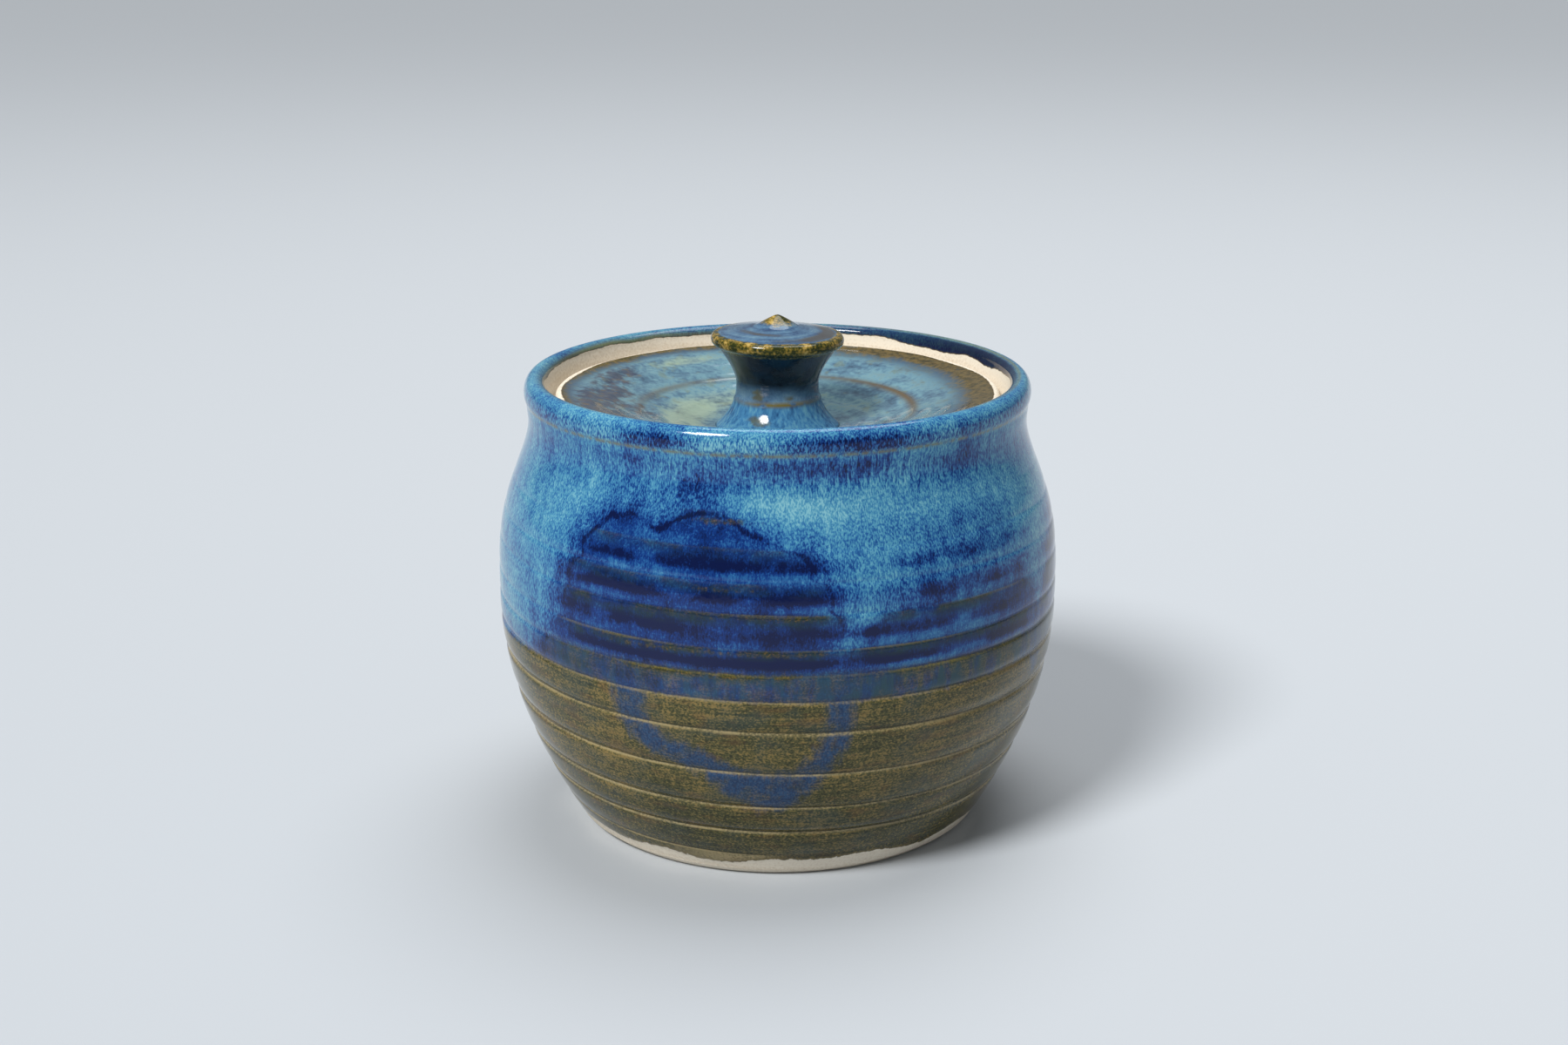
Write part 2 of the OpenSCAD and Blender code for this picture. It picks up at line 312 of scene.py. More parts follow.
foot_line_z = 4.5
foot_waves = np.sin(3 * turn_rad + 1) + np.sin(7 * turn_rad) + np.sin(13 * turn_rad + 2)
foot_line = foot_line_z + 0.5 * foot_waves
on_foot = radius > wall_r(height) - wall / 2
bare_foot = np.where(on_foot, foot_line - height, np.where(height > foot_recess + 0.3, -5, 5))
navy_side = side(118, 62)
lip_line = jar_h - 1.7 + 0.3 * np.sin(5 * turn_rad + 0.5)
lip_line -= 0.5 * np.maximum(0, np.sin(8 * turn_rad + 2)) ** 5
lip_line -= navy_side * (1.1 + 0.35 * np.sin(11 * turn_rad) + 0.25 * np.sin(23 * turn_rad + 1))
in_gallery = (radius < crest_r) & (radius > mouth_r - 0.1) & (height > ledge_low_z)
bare = np.where(in_gallery, 3 * (lip_line - height), bare_foot)
radius = np.where(on_outside, radius - 0.2 * ease(np.clip(bare / 0.6 + 0.5, 0, 1)), radius)

# Where the glaze breaks thin over the bands' upper edges, and where it is dark and thick inside the lip
rib_share = np.interp(height, [47, 50, 53, 57, 60, 70, 76, 88], [0.85, 0.55, 0.6, 0.8, 0.6, 0.45, 0.15, 0.05])
rib_gaps = np.interp(height, [52, 56], [0, 0.75]) * (0.5 + 0.5 * np.sin(7 * turn_rad + height / 3))
rib_share *= in_dome * (1 - rib_gaps) * (1 - 0.4 * patch(-50, 51, 14, 3, height))
rib_share = np.where(on_outside, rib_share, 0)
# Brown smudges across the blue: angle, height, reach each way and strength
smudges = [
    (-11, 91.6, 7, 0.8, 1), (2, 70.8, 6, 0.8, 0.7), (-10, 77.2, 10, 0.7, 0.6), (-22, 62.8, 14, 0.7, 0.8),
    (-16, 57.4, 24, 0.9, 0.9), (2, 62.6, 10, 0.8, 0.7), (160, 79, 12, 0.9, 0.8), (152, 64, 14, 0.9, 0.8),
    (-120, 76, 12, 0.9, 0.8), (-112, 66, 14, 0.9, 0.7), (88, 74, 12, 0.9, 0.8), (84, 63, 14, 0.9, 0.7),
]
smudge_share = np.zeros(len(height))
for at, level, wide, tall, share in smudges:
    smudge_share += share * patch(at, level, wide, tall, height)
combed_sides = 0.35 + 0.65 * side(20, 32) + 0.5 * side(-150, 40)
combed = np.interp(height, [95, 100, 104, 106], [0, 1, 1, 0.2]) * combed_sides
break_share = np.interp(down_band, [0, 0.05, 0.24, 0.46, 1], [0, 1, 0.85, 0, 0]) * in_dome
break_share *= ease(np.clip((height - 50) / 4, 0, 1)) * np.interp(height, [73, 80], [1, 0.55])
roll_edge = np.where(outer & (radius > crest_r), np.exp(-((height - roll_low_z - 0.1) / 0.4) ** 2), 0)
in_lip = np.where((radius < crest_r) & (height > jar_h - 6), 1, 0)
lip_dark = in_lip * np.interp(radius, [crest_r - 1.5, crest_r - 0.5], [1, 0]) * (0.3 + 0.65 * navy_side)
lip_olive = navy_side * np.exp(-((radius - crest_r + 0.5) / 0.45) ** 2)
lip_olive += side(-130, 45) * np.exp(-((height - lip_line - 0.5) / 0.6) ** 2)

move(jar, angle, radius, height)
mark(jar, "blue_depth", blue_depth)
brow = np.maximum(np.interp(height, [76, 87], [0.2, 1]), patch(19, 67.5, 5, 4, height))
brow = np.maximum(brow, 0.8 * patch(11, 73, 5, 6, height))
mark(jar, "crest", np.where(on_outside, brow, 0))
mark(jar, "thickness", np.where(outer, thickness, -0.25))
mark(jar, "bloom", np.where(on_outside, bloom, 0))
slate_at = [-180, -92, -78, -53, -44, 8, 18, 60, 100, 180]
slate_share = [0.5, 0.46, 0.12, 0.1, 0.5, 0.55, 0.7, 0.75, 0.6, 0.5]
mark(jar, "slate", np.interp(angle, slate_at, slate_share))
mark(jar, "flecks", flecks)
mark(jar, "olive_depth", np.where(outer, -above(olive_edge), -20))
mark(jar, "run_depth", np.where(outer, np.max([within(run) for run in blue_runs], axis=0), -20))
mark(jar, "ring_sin", np.where(on_outside, np.sin(math.tau * up_band), 0))
mark(jar, "ring_cos", np.where(on_outside, np.cos(math.tau * up_band), -1))
mark(jar, "ring_step", -band_h / math.tau)
mark(jar, "rib_share", rib_share)
mark(jar, "roll_edge", roll_edge)
mark(jar, "lip_dark", np.clip(lip_dark, 0, 1))
mark(jar, "lip_olive", np.where((radius < crest_r + 0.6) & (height > jar_h - 6), lip_olive, 0))
mark(jar, "break", np.where(on_outside, break_share, 0))
mark(jar, "smudge", np.where(on_outside, smudge_share, 0))
mark(jar, "combed", np.where(outer, combed, 0))
mark(jar, "toe", np.interp(height, [8, 30], [1, 0]))
mark(jar, "bare", bare)
mark(jar, "radius", radius)


def tint(red, green, blue):
    """A colour as it looks on a screen, 0 to 255, as the shader's own numbers."""
    screen = [c / 255 for c in (red, green, blue)]
    return (*[((c + 0.055) / 1.055) ** 2.4 if c > 0.04 else c / 12.92 for c in screen], 1)


class Glaze:
    """One fired surface, built up from marks on the clay, mottles in the glaze and the colours they give."""

    def __init__(self, name):
        self.material = bpy.data.materials.new(name)
        self.material.use_nodes = True
        self.tree = self.material.node_tree
        self.shader = self.tree.nodes["Principled BSDF"]
        self.shader.inputs["Specular IOR Level"].default_value = 0.33
        self.place = self.add("ShaderNodeTexCoord").outputs["Object"]

    def add(self, kind, inputs=(), **settings):
        node = self.tree.nodes.new(kind)
        for name, value in settings.items():
            setattr(node, name, value)
        for socket, value in dict(inputs).items():
            if isinstance(value, bpy.types.NodeSocket):
                self.tree.links.new(value, node.inputs[socket])
            else:
                node.inputs[socket].default_value = value
        return node

    def mark(self, name):
        return self.add("ShaderNodeAttribute", attribute_name=name).outputs["Fac"]

    def mottle(self, size, tall=1, wide=1, detail=2, rough=0.5, shift=0):
        """Cloudy variation about 0.5, with spots of a size in millimetres that may be drawn tall or wide."""
        across = 1 / (size * wide * MM)
        fitted = self.add("ShaderNodeMapping", {"Vector": self.place, "Location": (shift, shift, shift),
                                                "Scale": (across, across, 1 / (size * tall * MM))})
        return self.add("ShaderNodeTexNoise", {"Vector": fitted.outputs[0], "Scale": 1, "Detail": detail,
                                               "Roughness": rough}).outputs["Fac"]

    def total(self, start, *parts):
        """A number plus weighted values."""
        for weight, value in parts:
            step = self.add("ShaderNodeMath", {0: value, 1: weight, 2: start}, operation="MULTIPLY_ADD")
            start = step.outputs[0]
        return start

    def times(self, first, second):
        return self.add("ShaderNodeMath", {0: first, 1: second}, operation="MULTIPLY").outputs[0]

    def fade(self, value, start, end, low=0, high=1):
        """Eases from low to high as a value goes from start to end."""
        ends = {"Value": value, "From Min": start, "From Max": end, "To Min": low, "To Max": high}
        return self.add("ShaderNodeMapRange", ends, interpolation_type="SMOOTHSTEP").outputs[0]

    def shades(self, value, *stops):
        ramp = self.add("ShaderNodeValToRGB", {"Fac": value})
        bands = ramp.color_ramp.elements
        while len(bands) < len(stops):
            bands.new(0.5)
        for band, (place, colour) in zip(bands, stops):
            band.position, band.color = place, colour
        return ramp.outputs["Color"]

    def over(self, amount, top, under):
        """One colour laid over another."""
        mix = self.add("ShaderNodeMix", {0: amount, 6: under, 7: top}, data_type="RGBA")
        return mix.outputs[2]

    def turned(self, size, drift):
        """Rings round the wheel's axis, of a width in millimetres, that change slowly on the way round."""
        ring = self.add("ShaderNodeCombineXYZ", {"X": self.times(self.mark("radius"), 1 / size)}).outputs[0]
        slow = self.add("ShaderNodeVectorMath", {0: self.place, 1: (1 / (drift * MM),) * 3, 2: ring},
                        operation="MULTIPLY_ADD").outputs[0]
        return self.add("ShaderNodeTexNoise", {"Vector": slow, "Scale": 1, "Detail": 2}).outputs["Fac"]

    def fire(self, colour, gloss, relief, depth):
        """Sets colour, roughness and a relief of a depth in millimetres on the shader."""
        bump = self.add("ShaderNodeBump", {"Height": relief, "Distance": depth * MM, "Strength": 1})
        self.tree.links.new(colour, self.shader.inputs["Base Color"])
        self.tree.links.new(gloss, self.shader.inputs["Roughness"])
        self.tree.links.new(bump.outputs[0], self.shader.inputs["Normal"])
        return self.material


NAVY = tint(0, 16, 62)
COBALT = tint(10, 52, 120)
BLUE = tint(42, 102, 156)
TURQUOISE = tint(78, 146, 176)
PALE = tint(126, 182, 194)
UMBER = tint(30, 28, 14)
OLIVE = tint(50, 51, 25)
MOSS = tint(74, 73, 40)
GOLD = tint(128, 108, 60)
TAN = tint(164, 148, 108)
CLAY = tint(230, 220, 202)
CLAY_GRIT = tint(208, 194, 172)

glaze = Glaze("jar_glaze")
fur = glaze.fade(glaze.mottle(0.34, tall=3, detail=2), 0.36, 0.64, -0.5, 0.5)
pins = glaze.fade(glaze.mottle(0.5, detail=1, shift=2), 0.52, 0.72)
rivulets = glaze.mottle(2.4, tall=5, detail=2)
cloud = glaze.mottle(16, detail=3)
ragged = glaze.mottle(1.6, tall=2, detail=3)
blue_place = glaze.total(-3, (3, ragged), (3, rivulets), (1, glaze.mark("blue_depth")))
crest_place = glaze.total(-1.2, (1.4, ragged), (1, rivulets), (1, glaze.mark("blue_depth")))
crest = glaze.times(glaze.fade(crest_place, -1.3, -0.4), glaze.fade(crest_place, 0.7, -0.2))
crest = glaze.times(crest, glaze.fade(glaze.mottle(6, detail=2, shift=11), 0.36, 0.56, 0.35, 1))
uneven = glaze.fade(glaze.mottle(9, wide=1.5, detail=3, shift=9), 0.36, 0.62, -0.1, 1.7)
hairs = glaze.fade(glaze.mottle(0.8, tall=9, detail=2, shift=1), 0.46, 0.62)
strength = glaze.total(-0.285, (1, glaze.fade(blue_place, -1, 4, 0, 0.22)),
                       (1, glaze.fade(blue_place, 2, 10, 0, 0.2)),
                       (0.6, cloud), (0.45, rivulets), (1, glaze.mark("thickness")),
                       (1, glaze.times(uneven, glaze.mark("bloom"))), (0.12, pins),
                       (-0.26, glaze.times(hairs, glaze.mark("combed"))),
                       (1, glaze.times(fur, glaze.mark("flecks"))),
                       (-0.32, glaze.times(crest, glaze.mark("crest"))))
blues = glaze.shades(strength, (0, NAVY), (0.24, COBALT), (0.46, BLUE), (0.72, TURQUOISE), (1, PALE))
broken = glaze.fade(glaze.mottle(5, wide=2, detail=3, shift=6), 0.38, 0.58, 0.3, 0.9)
break_tone = glaze.mottle(2.2, wide=1.5, detail=3, shift=4)
breaks = glaze.shades(break_tone, (0.38, tint(10, 34, 62)), (0.6, tint(26, 52, 54)))
blues = glaze.over(glaze.times(glaze.mark("break"), broken), breaks, blues)

speck = glaze.mottle(0.4, wide=1.4, detail=2)
lines = glaze.mottle(0.5, wide=30, detail=2)
grain = glaze.mottle(1.1, tall=3, detail=3, shift=13)
earth = glaze.total(-0.84, (1.5, speck), (0.7, lines), (0.45, cloud), (0.45, grain),
                    (-0.12, glaze.mark("toe")))
olives = glaze.shades(earth, (0.15, UMBER), (0.45, OLIVE), (0.68, MOSS), (0.95, GOLD))
rust = glaze.fade(glaze.mottle(3, wide=2.5, detail=3, shift=7), 0.52, 0.68, 0, 0.34)
olives = glaze.over(rust, tint(104, 74, 40), olives)
teal = glaze.fade(glaze.mottle(7, wide=1.6, detail=3, shift=3), 0.48, 0.68, 0, 0.32)
olives = glaze.over(teal, tint(44, 66, 70), olives)
run_tone = glaze.total(0, (0.4, fur), (0.4, speck), (0.6, ragged))
run_blue = glaze.shades(run_tone, (0.2, tint(10, 38, 74)), (0.75, tint(36, 72, 110)))
run_place = glaze.total(-4, (4, ragged), (4, rivulets), (1, glaze.mark("run_depth")))
runs = glaze.times(glaze.fade(run_place, -2.6, 1.4, 0, 0.95), glaze.fade(speck, 0.72, 0.48, 0.85, 1))
runs = glaze.times(runs, glaze.fade(glaze.mottle(4, detail=3, shift=12), 0.36, 0.56, 0.6, 1))
olives = glaze.over(runs, run_blue, olives)
olive_depth = glaze.total(-1.2, (1.6, ragged), (0.8, rivulets), (1, glaze.mark("olive_depth")))
slate = glaze.times(glaze.fade(olive_depth, -8.5, -5.5), glaze.mark("slate"))
slate = glaze.times(slate, glaze.fade(rivulets, 0.36, 0.6, 0.6, 1.3))
olive_ground = glaze.fade(olive_depth, -1, 0.6)
olive_share = glaze.add("ShaderNodeMath", {0: slate, 1: olive_ground}, operation="MAXIMUM")
veil_gaps = glaze.fade(glaze.mottle(4, tall=1.5, detail=3, shift=14), 0.36, 0.6, 1, 0.35)
veiled = glaze.times(glaze.fade(olive_depth, 0.6, -1.2), veil_gaps)
olives = glaze.over(veiled, tint(40, 69, 76), olives)
fired = glaze.over(olive_share.outputs[0], olives, blues)

ring_turn = glaze.add("ShaderNodeMath", {0: glaze.mark("ring_sin"), 1: glaze.mark("ring_cos")},
                      operation="ARCTAN2")
below_crease = glaze.times(ring_turn.outputs[0], glaze.mark("ring_step"))
worn_tone = glaze.total(0, (0.5, speck), (0.5, glaze.mottle(3, wide=5, detail=2, shift=5)))
worn = glaze.fade(worn_tone, 0.36, 0.58, 0.3, 0.95)
rib = glaze.times(glaze.fade(below_crease, -0.1, 0.15), glaze.fade(below_crease, 0.8, 0.2))
rib = glaze.times(glaze.times(rib, glaze.mark("rib_share")), worn)
smear_place = glaze.total(-1.2, (1, below_crease), (2.4, ragged))
smear = glaze.times(glaze.fade(smear_place, -0.6, 0.1), glaze.fade(smear_place, 1.7, 0.5))
smear = glaze.times(glaze.times(smear, glaze.mark("break")), glaze.fade(broken, 0.5, 0.85, 0, 0.35))
smudge = glaze.fade(glaze.total(-1.3, (1, glaze.mark("smudge")), (2.4, ragged)), 0.1, 0.9, 0, 0.7)
smear = glaze.total(smear, (1, glaze.times(smudge, glaze.fade(glaze.mark("smudge"), 0.05, 0.5))))
smear_colour = glaze.shades(speck, (0.35, tint(34, 42, 28)), (0.55, tint(64, 62, 32)),
                            (0.7, tint(112, 86, 42)))
crease = glaze.times(glaze.fade(below_crease, -0.7, -0.15), glaze.fade(below_crease, 0.2, 0))
rib_colour = glaze.over(glaze.fade(olive_depth, -3, 0.5), TAN, tint(122, 112, 58))
fired = glaze.over(glaze.times(glaze.times(crease, glaze.mark("rib_share")), 0.55), UMBER, fired)
fired = glaze.over(smear, smear_colour, fired)
fired = glaze.over(rib, rib_colour, fired)
roll_line = glaze.times(glaze.mark("roll_edge"), glaze.fade(ragged, 0.3, 0.6, 0, 0.8))
fired = glaze.over(roll_line, tint(118, 114, 76), fired)
fired = glaze.over(glaze.mark("lip_dark"), tint(14, 16, 46), fired)
fired = glaze.over(glaze.times(glaze.mark("lip_olive"), 0.8), tint(112, 112, 56), fired)

bare_edge = glaze.total(-1, (2, ragged), (1, glaze.mark("bare")))
fired = glaze.over(glaze.fade(bare_edge, -1.1, -0.1, 0, 0.8), tint(104, 88, 42), fired)
bare_clay = glaze.fade(bare_edge, -0.15, 0.15)
grit = glaze.total(-0.2, (0.7, glaze.mottle(0.6, detail=3)), (0.7, glaze.turned(0.7, 40)))
clay = glaze.shades(grit, (0.3, CLAY_GRIT), (0.6, CLAY))
colour = glaze.over(bare_clay, clay, fired)
gloss = glaze.total(0.04, (0.7, bare_clay), (0.12, cloud))
relief = glaze.total(0, (1, glaze.mottle(3, detail=2)), (0.3, glaze.times(grit, bare_clay)))
jar_material = glaze.fire(colour, gloss, relief, 0.05)
finish_piece(jar, "jar", jar_material, "jar_body", "jar")

# Lid: a dished stoneware plate, thrown to drop into the gallery and turned flat where it sits on the ledge.
# Its top is glazed in the same blue, thinner and blotched, and its edge and seat are bare clay.
_, lid_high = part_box("lid")
lid_r = min(lid_high.x, lid_high.y) / MM
lid_top_z = lid_high.z / MM
lid_round = 1.4
lid_flat_r = lid_r - lid_round
lid_step_r = mouth_r - 0.7
lid_t = 4.5
dish_depth = 9.4
dish_z = lid_top_z - dish_depth
flare_r = 15.5
middle_r = 8
ring_r = 34
throwing_pitch = 5.5
scrape_pitch = 4.5
back_glaze_r = 46
lid_turns = 160


def dish_top(r):
    u = np.clip((r - flare_r) / (lid_flat_r - flare_r), 0, 1)
    return dish_z + dish_depth * (0.45 * u + 0.55 * ease(u))


lid_top = [(0, dish_z), (middle_r, dish_z)]
lid_top += [(r, float(dish_top(r))) for r in np.linspace(flare_r - 3, lid_flat_r, 90)]
lid_edge = arc(lid_flat_r, lid_top_z - lid_round, lid_round, lid_round, 75, 0, 8)
lid_seat = [(lid_r, ledge_z + 0.3), (lid_r - 0.3, ledge_z), (lid_step_r + 0.3, ledge_z),
            (lid_step_r, ledge_z - 0.05)]
lid_under = [(r, float(dish_top(r)) - lid_t) for r in np.linspace(lid_step_r - 0.4, flare_r, 60)]
lid_under += [(middle_r, dish_z - lid_t), (0, dish_z - lid_t)]
lid = throw(lid_top + lid_edge + lid_seat + lid_under, lid_turns)
angle, radius, height = around(lid)
turn_rad = np.radians(angle)
on_top = height > dish_top(radius) - lid_t / 2
throwing = 0.1 * np.sin(math.tau * radius / throwing_pitch + turn_rad)
throwing += 0.25 * np.exp(-((radius - ring_r) / 0.7) ** 2)
scraping = 0.12 * np.abs(np.sin(math.pi * radius / scrape_pitch))
on_dish = np.interp(radius, [17, 21, 50, 52.5], [0, 1, 1, 0])
on_back = np.interp(radius, [17, 21, 44, 47], [0, 1, 1, 0])
move(lid, angle, radius, height + np.where(on_top, throwing * on_dish, scraping * on_back))

# Blotches of the fired glaze: angle, radius, reach each way and strength
olive_blotches = [(95, 51, 48, 6, 1), (150, 52, 35, 4, 0.9), (-165, 53, 30, 3, 0.8), (-125, 53, 20, 3, 0.7),
                  (-85, 53, 25, 2.6, 0.7), (40, 52, 30, 4, 0.7), (-20, 53, 40, 3, 0.7)]
plum_blotches = [(-95, 42, 16, 5, 0.9), (-70, 46, 16, 5, 1), (-118, 46, 10, 4, 0.7), (-50, 40, 18, 6, 0.8),
                 (-20, 44, 15, 4, 0.5), (20, 40, 12, 4, 0.3), (-80, 33, 12, 2.5, 0.6), (70, 29, 10, 3, 0.35)]
pale_blotches = [(-110, 23, 45, 7, 1), (-60, 24, 30, 6, 0.7), (110, 25, 40, 6, 0.35),
                 (-145, 45, 16, 3.5, 0.8), (50, 24, 30, 6, 0.4), (180, 24, 35, 6, 0.6)]


def blotched(blotches):
    return np.clip(sum(share * patch(*place, radius) for *place, share in blotches), 0, 1)


lid_line = lid_flat_r - 0.2 + 0.25 * np.sin(5 * turn_rad + 1) + 0.2 * np.sin(11 * turn_rad)
bare_back = np.where(radius > back_glaze_r + 0.5, 5, radius - back_glaze_r)
mark(lid, "bare", np.where(on_top, radius - lid_line, bare_back))
mark(lid, "radius", radius)
mark(lid, "olive", np.where(on_top, blotched(olive_blotches), 0.7))
mark(lid, "plum", np.where(on_top, blotched(plum_blotches), 0))
mark(lid, "pale", np.where(on_top, blotched(pale_blotches), 0))
ring_sides = np.maximum(patch(115, ring_r, 55, 9, radius), 0.5 * patch(-120, ring_r, 40, 9, radius))
ring_line = ring_r + 0.3 * np.sin(3 * turn_rad)
ring_share = np.exp(-((radius - ring_line) / 1.2) ** 2) * (0.12 + 0.88 * ring_sides)
mark(lid, "ring", np.where(on_top, ring_share, 0))

glaze = Glaze("lid_glaze")
cloud = glaze.mottle(8, detail=5, rough=0.55)
fine = glaze.mottle(1.3, detail=3)
swirl = glaze.turned(2.2, 12)
strength = glaze.total(-0.44, (0.9, cloud), (0.5, fine), (0.4, swirl))
blues = glaze.shades(strength, (0.12, tint(54, 70, 90)), (0.36, tint(84, 116, 136)),
                     (0.56, tint(110, 148, 160)), (0.85, tint(146, 174, 168)))
blotch = glaze.total(-1.05, (1.2, cloud), (0.5, fine), (0.4, swirl))
ochre = glaze.fade(glaze.mottle(4, detail=3, shift=4), 0.58, 0.7, 0, 0.45)
fired = glaze.over(ochre, tint(112, 122, 100), blues)
mottled = glaze.mottle(3.5, detail=4, rough=0.6, shift=8)
plum = glaze.fade(glaze.total(-1.3, (0.9, glaze.mark("plum")), (2.6, mottled)), 0.05, 0.75, 0, 0.85)
plum = glaze.times(plum, glaze.fade(glaze.mark("plum"), 0.02, 0.35))
plums = glaze.shades(glaze.mottle(2.2, detail=3, shift=5), (0.35, tint(50, 58, 80)), (0.52, tint(72, 72, 86)),
                     (0.66, tint(98, 78, 56)))
fired = glaze.over(plum, plums, fired)
pale = glaze.fade(glaze.total(0, (1, glaze.mark("pale")), (0.9, blotch)), 0.3, 0.95, 0, 0.8)
fired = glaze.over(pale, tint(156, 174, 150), fired)
olive_place = glaze.total(0, (1, glaze.mark("olive")), (0.9, blotch))
fired = glaze.over(glaze.fade(olive_place, 0.05, 0.45, 0, 0.7), tint(62, 78, 96), fired)
olives = glaze.shades(fine, (0.35, tint(66, 58, 26)), (0.6, tint(106, 88, 44)))
fired = glaze.over(glaze.fade(olive_place, 0.3, 0.9, 0, 0.95), olives, fired)
fired = glaze.over(glaze.times(glaze.mark("ring"), glaze.fade(cloud, 0.2, 0.42)), tint(98, 82, 58), fired)
bare_edge = glaze.total(-0.3, (0.6, fine), (1, glaze.mark("bare")))
fired = glaze.over(glaze.fade(bare_edge, -0.8, -0.1, 0, 0.8), tint(88, 72, 34), fired)
bare_clay = glaze.fade(bare_edge, -0.12, 0.12)
clay = glaze.shades(glaze.mottle(0.6, detail=3), (0.3, CLAY_GRIT), (0.6, CLAY))
colour = glaze.over(bare_clay, clay, fired)
gloss = glaze.total(0.04, (0.7, bare_clay), (0.12, cloud))
lid_material = glaze.fire(colour, gloss, glaze.mottle(3, detail=2), 0.05)
finish_piece(lid, "lid_top", lid_material, "lid", "lid")

# Knob: a lump of clay thrown onto the turned lid and waisted for finger and thumb.
# Its cap has a round edge and a point. The same glaze runs thin over both and breaks to gold brown.
_, knob_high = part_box("lid_knob")
knob_r = min(knob_high.x, knob_high.y) / MM
tip_z = knob_high.z / MM
waist_r = 10.2
waist_z = dish_z + 11
flare_power = 2.4
spread_power = 1.6
cap_rim_t = 2.8
cap_round = cap_rim_t * 0.4
cap_r = knob_r - cap_round
cap_rise = 1.8
tip_h = 2.8
tip_r = 5.5
tip_round = 0.5
tip_slope = 0.6
cap_tilt = 0.02
joint_z = dish_z + 7
knob_turns = 128
cap_top_z = tip_z - tip_h - cap_rise
cap_low_z = cap_top_z - cap_rim_t

flare = [(waist_r + (flare_r - waist_r) * u ** flare_power, waist_z - (waist_z - dish_z) * u)
         for u in np.linspace(1, 0, 24)]
spread = [(waist_r + (cap_r - waist_r) * u ** spread_power, waist_z + (cap_low_z - waist_z) * u)
          for u in np.linspace(0, 1, 20)]
cap_edge = arc(cap_r, cap_low_z + cap_rim_t / 2, cap_round, cap_rim_t / 2, -60, 80, 14)
cap_top = [(cap_r + (tip_r - cap_r) * u, cap_top_z + cap_rise * u) for u in np.linspace(0.05, 0.95, 14)]
tip = [(r, tip_z + tip_round - math.hypot(tip_round, tip_slope * r)) for r in np.linspace(tip_r - 0.3, 0, 14)]
knob = throw([(0, dish_z), (middle_r, dish_z)] + flare + spread[1:] + cap_edge + cap_top + tip, knob_turns)
angle, radius, height = around(knob)
turn_rad = np.radians(angle)
joint_line = joint_z + 0.3 * np.sin(turn_rad + 1)
joint_ridge = np.exp(-((height - joint_line) / 0.5) ** 2)
tilted = ease(np.clip((height - waist_z) / (cap_low_z - waist_z), 0, 1))
tilt = -cap_tilt * tilted * radius * np.sin(turn_rad)
move(knob, angle, radius + 0.2 * joint_ridge, height + tilt)
on_cap_top = height > cap_top_z - 0.2
band_ends = [cap_low_z - 1.2, cap_low_z - 0.1, cap_top_z - 0.1, cap_top_z + 0.15]
cap_band = np.where(radius > waist_r + 2, np.interp(height, band_ends, [0, 1, 1, 0]), 0)
tip_gold = np.interp(radius, [2.2, 4.8], [0.95, 0.2]) * (radius < 4.9)
edge_line = 0.8 * np.exp(-((radius - cap_r + 0.6) / 0.35) ** 2) * on_cap_top
sweep_share = patch(75, 12.5, 60, 1.6, radius) + 0.7 * patch(-30, 9, 50, 0.9, radius)
sweep_share += 0.6 * patch(180, 11, 60, 1.2, radius)
joint_share = 1.1 * side(4, 56) + 0.6 * side(140, 40) + 0.5 * side(-110, 25)
mark(knob, "gold", np.maximum(np.maximum(cap_band, tip_gold), edge_line))
mark(knob, "green", np.where(radius > waist_r + 2, np.exp(-((height - cap_low_z + 0.1) / 0.55) ** 2), 0))
mark(knob, "joint", np.where(radius > 3, np.exp(-((height - joint_line) / 0.55) ** 2) * joint_share, 0))
# The stem under the cap and the cap's underside are painted dark: dark blue glaze with the cap's shadow
# painted over it.
stem_ends = [joint_z + 1, joint_z + 5, cap_low_z + 0.6, cap_low_z + 1.2]
mark(knob, "stem", np.interp(height, stem_ends, [0, 1, 1, 0]))
mark(knob, "flare", np.interp(height, [joint_z - 0.6, joint_z + 0.2], [1, 0]))
mark(knob, "sweep", sweep_share * on_cap_top)
mark(knob, "radius", radius)
smears = patch(-22, joint_z - 3.6, 14, 1.3, height) + 0.9 * patch(-28, joint_z + 2.2, 14, 1.6, height)
smears += 0.5 * patch(20, joint_z + 1.6, 20, 1, height) + 0.9 * patch(100, joint_z - 3, 16, 1.5, height)
smears += 0.8 * patch(-150, joint_z + 1, 24, 1.6, height) + 0.8 * patch(165, joint_z - 4, 18, 1.4, height)
mark(knob, "smears", smears)

glaze = Glaze("knob_glaze")
cloud = glaze.mottle(5, detail=4)
fine = glaze.mottle(0.6, detail=3)
streak = glaze.mottle(0.9, tall=7, detail=2)
ragged = glaze.mottle(1.6, wide=1.8, detail=3)
swirl = glaze.turned(1.1, 9)
strength = glaze.total(-0.5, (0.8, cloud), (0.4, fine), (0.8, swirl))
blues = glaze.shades(strength, (0.1, tint(36, 48, 76)), (0.35, tint(58, 84, 116)), (0.6, tint(84, 118, 146)),
                     (0.9, tint(118, 150, 164)))
sweep_tone = glaze.total(-0.5, (1, glaze.mark("sweep")), (0.6, swirl), (0.5, ragged))
sweep = glaze.fade(sweep_tone, 0.1, 0.7, 0, 0.85)
fired = glaze.over(sweep, tint(78, 72, 64), blues)
flare_tone = glaze.total(-0.4, (1.1, streak), (0.7, cloud))
flares = glaze.shades(flare_tone, (0.2, tint(34, 78, 122)), (0.5, tint(66, 124, 166)),
                      (0.8, tint(98, 154, 176)))
fired = glaze.over(glaze.mark("flare"), flares, fired)
# Painted shadow of the cap over the stem's dark blue glaze.
stem_tone = glaze.total(-0.4, (1, cloud), (0.6, ragged))
stem = glaze.shades(stem_tone, (0.2, tint(6, 14, 26)), (0.7, tint(26, 48, 66)))
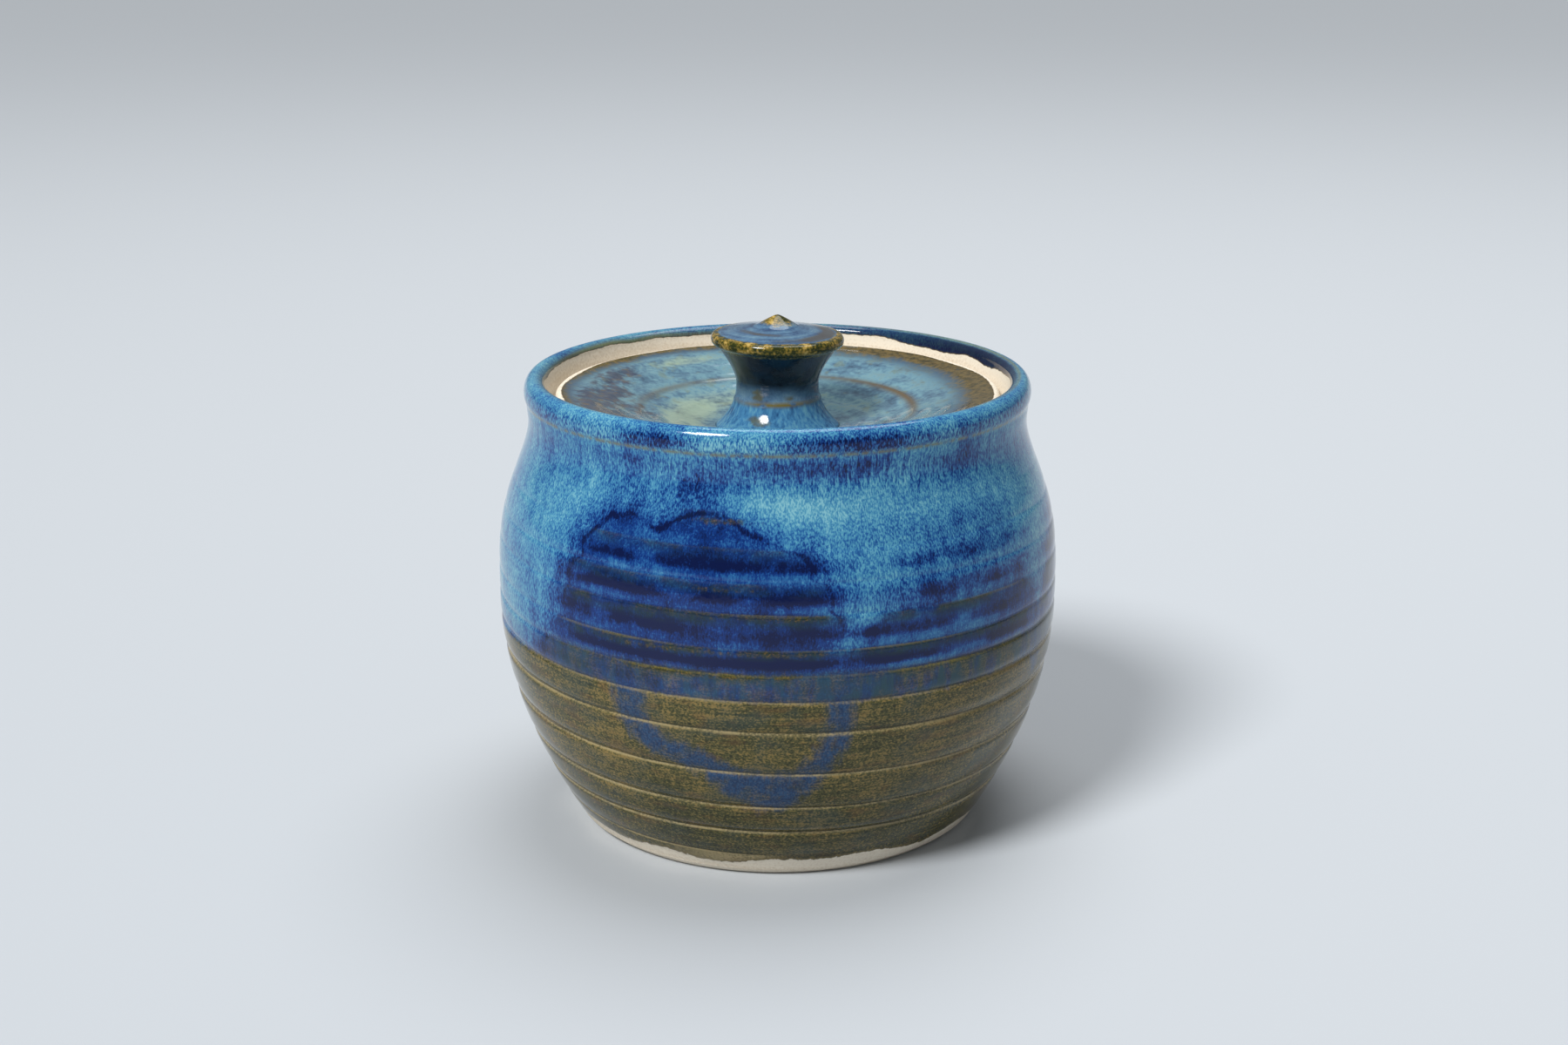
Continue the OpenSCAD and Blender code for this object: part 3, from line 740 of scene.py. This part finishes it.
fired = glaze.over(glaze.mark("stem"), stem, fired)
smear = glaze.fade(glaze.total(-0.8, (0.9, glaze.mark("smears")), (1.6, ragged)), 0.2, 0.75, 0, 0.75)
fired = glaze.over(glaze.times(smear, glaze.fade(glaze.mark("smears"), 0.1, 0.5)), tint(84, 78, 40), fired)
gold_tone = glaze.total(-1.3, (1.4, fine), (2, ragged))
golds = glaze.shades(gold_tone, (0.2, tint(44, 50, 18)), (0.42, tint(106, 94, 36)),
                     (0.62, tint(148, 120, 52)), (0.82, tint(184, 158, 90)))
gold = glaze.fade(glaze.total(-0.4, (1, glaze.mark("gold")), (0.8, ragged)), 0.25, 0.75)
fired = glaze.over(gold, golds, fired)
green = glaze.times(glaze.mark("green"), glaze.fade(ragged, 0.35, 0.55, 0.3, 0.9))
fired = glaze.over(green, tint(34, 42, 18), fired)
joint = glaze.times(glaze.mark("joint"), glaze.fade(ragged, 0.25, 0.5))
fired = glaze.over(joint, tint(112, 100, 50), fired)
gloss = glaze.fade(cloud, 0.2, 0.8, 0.06, 0.14)
knob_material = glaze.fire(fired, gloss, glaze.mottle(2.5, detail=2), 0.05)
finish_piece(knob, "knob", knob_material, "lid_knob", "lid")

# Floor: a plain pale table that the jar stands on.
floor_bm = bmesh.new()
bmesh.ops.create_grid(floor_bm, x_segments=1, y_segments=1, size=12)
floor_mesh = bpy.data.meshes.new("floor")
floor_bm.to_mesh(floor_mesh)
floor_bm.free()
floor = bpy.data.objects.new("floor", floor_mesh)
bpy.context.scene.collection.objects.link(floor)
floor_paint = bpy.data.materials.new("floor_paint")
floor_paint.use_nodes = True
floor_paint.node_tree.nodes["Principled BSDF"].inputs["Base Color"].default_value = tint(190, 195, 200)
floor_paint.node_tree.nodes["Principled BSDF"].inputs["Roughness"].default_value = 0.6
floor_mesh.materials.append(floor_paint)

# Light: a soft sun high at the left front, a broad lamp overhead and a grey room.
world = bpy.data.worlds.new("room")
bpy.context.scene.world = world
world.use_nodes = True
world.node_tree.nodes["Background"].inputs["Color"].default_value = (0.92, 0.96, 1, 1)
world.node_tree.nodes["Background"].inputs["Strength"].default_value = 0.22


def lamp(light, place):
    holder = bpy.data.objects.new(light.name, light)
    holder.location = place
    holder.rotation_euler = (-holder.location).to_track_quat("-Z", "Y").to_euler()
    bpy.context.scene.collection.objects.link(holder)


sun = bpy.data.lights.new("sun", "SUN")
sun.energy = 3
sun.angle = math.radians(17)
lamp(sun, (-0.9, -1.1, 1.5))
top_light = bpy.data.lights.new("top_light", "AREA")
top_light.shape = "DISK"
top_light.size = 1.4
top_light.energy = 20
lamp(top_light, (0.2, 0.5, 1.8))

# Camera: a little above the rim, as in the photograph.
camera = bpy.data.cameras.new("camera")
camera.lens = 50
camera.sensor_width = 36
viewer = bpy.data.objects.new("camera", camera)
viewer.location = (0.0016, -0.5262, 0.2284)
look_down = 16.47
viewer.rotation_euler = (math.radians(90 - look_down), 0, 0)
bpy.context.scene.collection.objects.link(viewer)
bpy.context.scene.camera = viewer
bpy.context.scene.view_settings.view_transform = "Standard"
